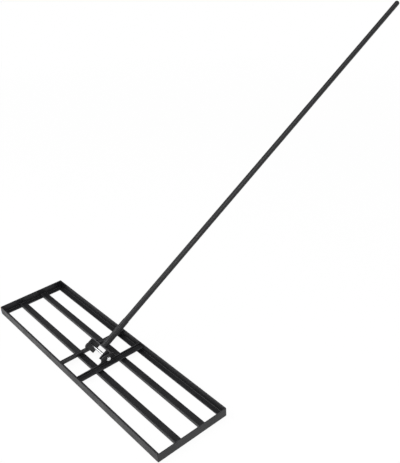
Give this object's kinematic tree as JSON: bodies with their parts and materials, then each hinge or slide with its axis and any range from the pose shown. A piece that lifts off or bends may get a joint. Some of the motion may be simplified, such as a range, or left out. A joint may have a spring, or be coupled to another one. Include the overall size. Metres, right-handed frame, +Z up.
{
  "type": "lawn leveling rake",
  "caption": "Wide flat lawn leveling rake: open grid of black angle-steel bars for spreading soil, with a long thin round handle on a bolted pivoting yoke.",
  "frame": {"origin": "on the ground under the middle of the head", "axes": "+X along the head's length towards the bolt head, +Y towards the side the handle leans to, +Z up"},
  "size_m": [0.914, 1.5988, 0.8951],
  "materials": {
    "coated_steel": "satin black powder coat",
    "zinc_hardware": "bright zinc plate",
    "black_plastic": "matte black moulding"
  },
  "bodies": {
    "head": {"front_rail": "coated_steel", "rear_rail": "coated_steel", "left_end_rail": "coated_steel", "right_end_rail": "coated_steel", "front_inner_bar": "coated_steel", "rear_inner_bar": "coated_steel", "left_crossbar": "coated_steel", "right_crossbar": "coated_steel", "left_ear": "coated_steel", "right_ear": "coated_steel", "pivot_bolt": "zinc_hardware", "nut_washer": "zinc_hardware", "pivot_nut": "zinc_hardware", "left_spacer": "zinc_hardware", "right_spacer": "zinc_hardware"},
    "handle": {"yoke": "coated_steel", "socket_tube": "coated_steel", "lower_pole": "coated_steel", "lower_joint": "coated_steel", "middle_pole": "coated_steel", "upper_joint": "coated_steel", "upper_pole": "coated_steel", "end_cap": "black_plastic"}
  },
  "joints": [
    {"name": "handle_tilt", "type": "hinge", "parent": "head", "child": "handle", "pos_m": [0, -0.002, 0.0305], "axis": [1, 0, 0], "range_deg": [-26, 145.5]}
  ]
}
